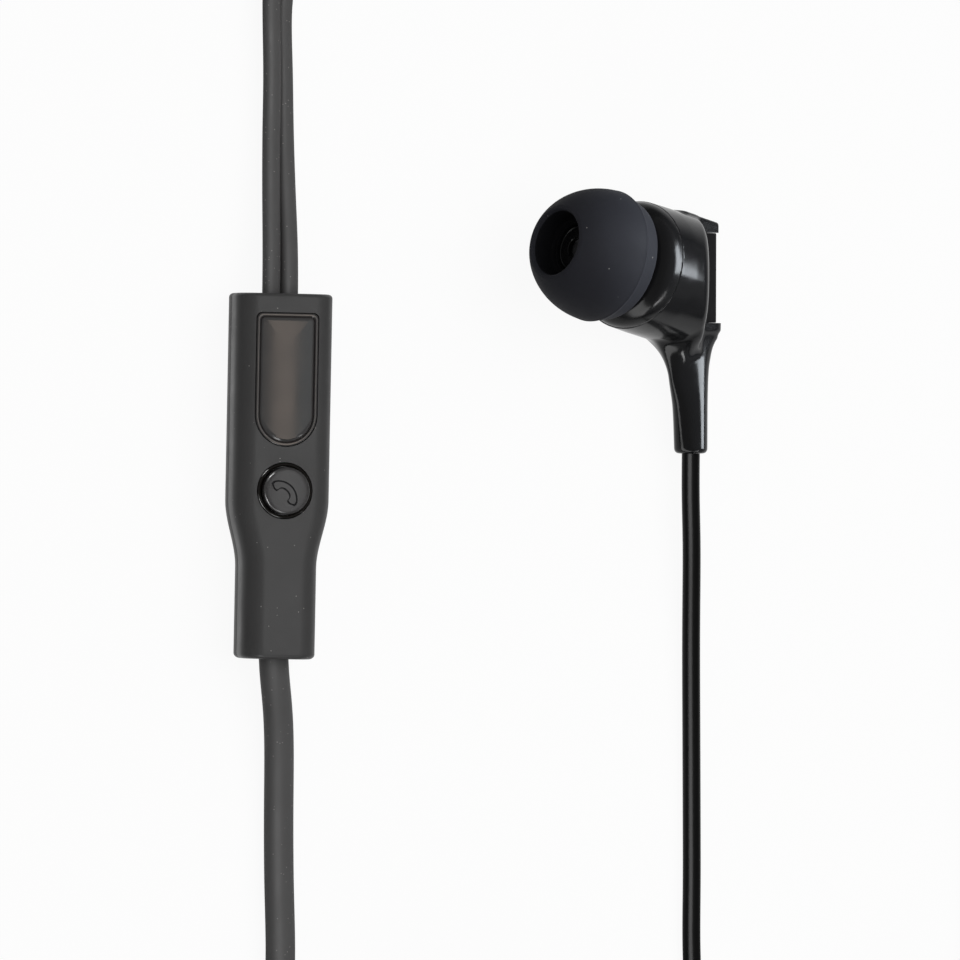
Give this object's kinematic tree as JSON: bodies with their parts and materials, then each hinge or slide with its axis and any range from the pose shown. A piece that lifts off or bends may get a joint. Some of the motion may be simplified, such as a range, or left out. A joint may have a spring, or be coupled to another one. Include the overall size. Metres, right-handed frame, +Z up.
{
  "type": "wired in-ear earphones",
  "caption": "Wired in-ear earphones: two angled stem earbuds with soft tips, an inline call remote at the split, a coiled main cord and a plug.",
  "frame": {"origin": "centre of the remote's flat back, which lies on the table (z = 0)", "axes": "+Y along the remote towards the two ear cords, +X to the right seen from above, +Z up through the call button"},
  "size_m": [0.0718, 0.1365, 0.0165],
  "materials": {
    "remote_grey": "satin",
    "panel_brown": "semi-gloss",
    "button_grey": "satin",
    "gloss_black": "polished",
    "matt_black": "matt",
    "tip_silicone": "matt",
    "mesh_steel": "fine mesh",
    "plunger_plastic": "moulded",
    "plated_metal": "plated",
    "board_laminate": "solder mask",
    "film": "thin film",
    "copper_wire": "enamelled wire",
    "driver_steel": "plated",
    "cord_jacket": "satin",
    "tie_strap": "woven",
    "contact_gold": "polished",
    "band_plastic": "moulded"
  },
  "bodies": {
    "cord_set": {"remote_front_shell": "remote_grey", "remote_back_shell": "remote_grey", "inlay_panel": "panel_brown", "button_bezel": "gloss_black", "switch_body": "plated_metal", "circuit_board": "board_laminate", "microphone": "plated_metal", "ear_cord_crimp": "plated_metal", "main_cord_crimp": "plated_metal", "right_nozzle_mesh": "mesh_steel", "right_front_housing": "gloss_black", "right_diaphragm": "film", "right_voice_coil": "copper_wire", "right_driver_frame": "driver_steel", "right_magnet": "driver_steel", "right_rear_housing": "gloss_black", "right_rear_cover": "matt_black", "right_cord_bush": "cord_jacket", "left_nozzle_mesh": "mesh_steel", "left_front_housing": "gloss_black", "left_diaphragm": "film", "left_voice_coil": "copper_wire", "left_driver_frame": "driver_steel", "left_magnet": "driver_steel", "left_rear_housing": "gloss_black", "left_rear_cover": "matt_black", "left_cord_bush": "cord_jacket", "right_ear_cord": "cord_jacket", "right_ear_cord_end": "cord_jacket", "left_ear_cord": "cord_jacket", "left_ear_cord_end": "cord_jacket", "ear_cord_coil": "cord_jacket", "ear_coil_tie": "tie_strap", "main_cord": "cord_jacket", "main_cord_coil": "cord_jacket", "main_cord_tail": "cord_jacket", "main_coil_tie": "tie_strap", "plug_strain_relief": "cord_jacket", "plug_body": "matt_black", "plug_sleeve": "contact_gold", "plug_ring_two": "contact_gold", "plug_ring_one": "contact_gold", "plug_tip": "contact_gold", "plug_bands": "band_plastic"},
    "call_button": {"call_button": "button_grey", "switch_plunger": "plunger_plastic"},
    "right_ear_tip": {"right_ear_tip": "tip_silicone"},
    "left_ear_tip": {"left_ear_tip": "tip_silicone"}
  },
  "joints": [
    {"name": "call_button_press", "type": "slide", "parent": "cord_set", "child": "call_button", "axis": [0, 0, -1], "range_m": [0, 0.0003], "stiffness_N_per_m": 5000, "springref_m": -0.00005},
    {"name": "right_ear_tip_pull", "type": "slide", "parent": "cord_set", "child": "right_ear_tip", "axis": [-0.8672, 0.1877, 0.4612], "range_m": [0, 0.008]},
    {"name": "left_ear_tip_pull", "type": "slide", "parent": "cord_set", "child": "left_ear_tip", "axis": [0.2028, 0.6741, 0.7103], "range_m": [0, 0.008]}
  ]
}
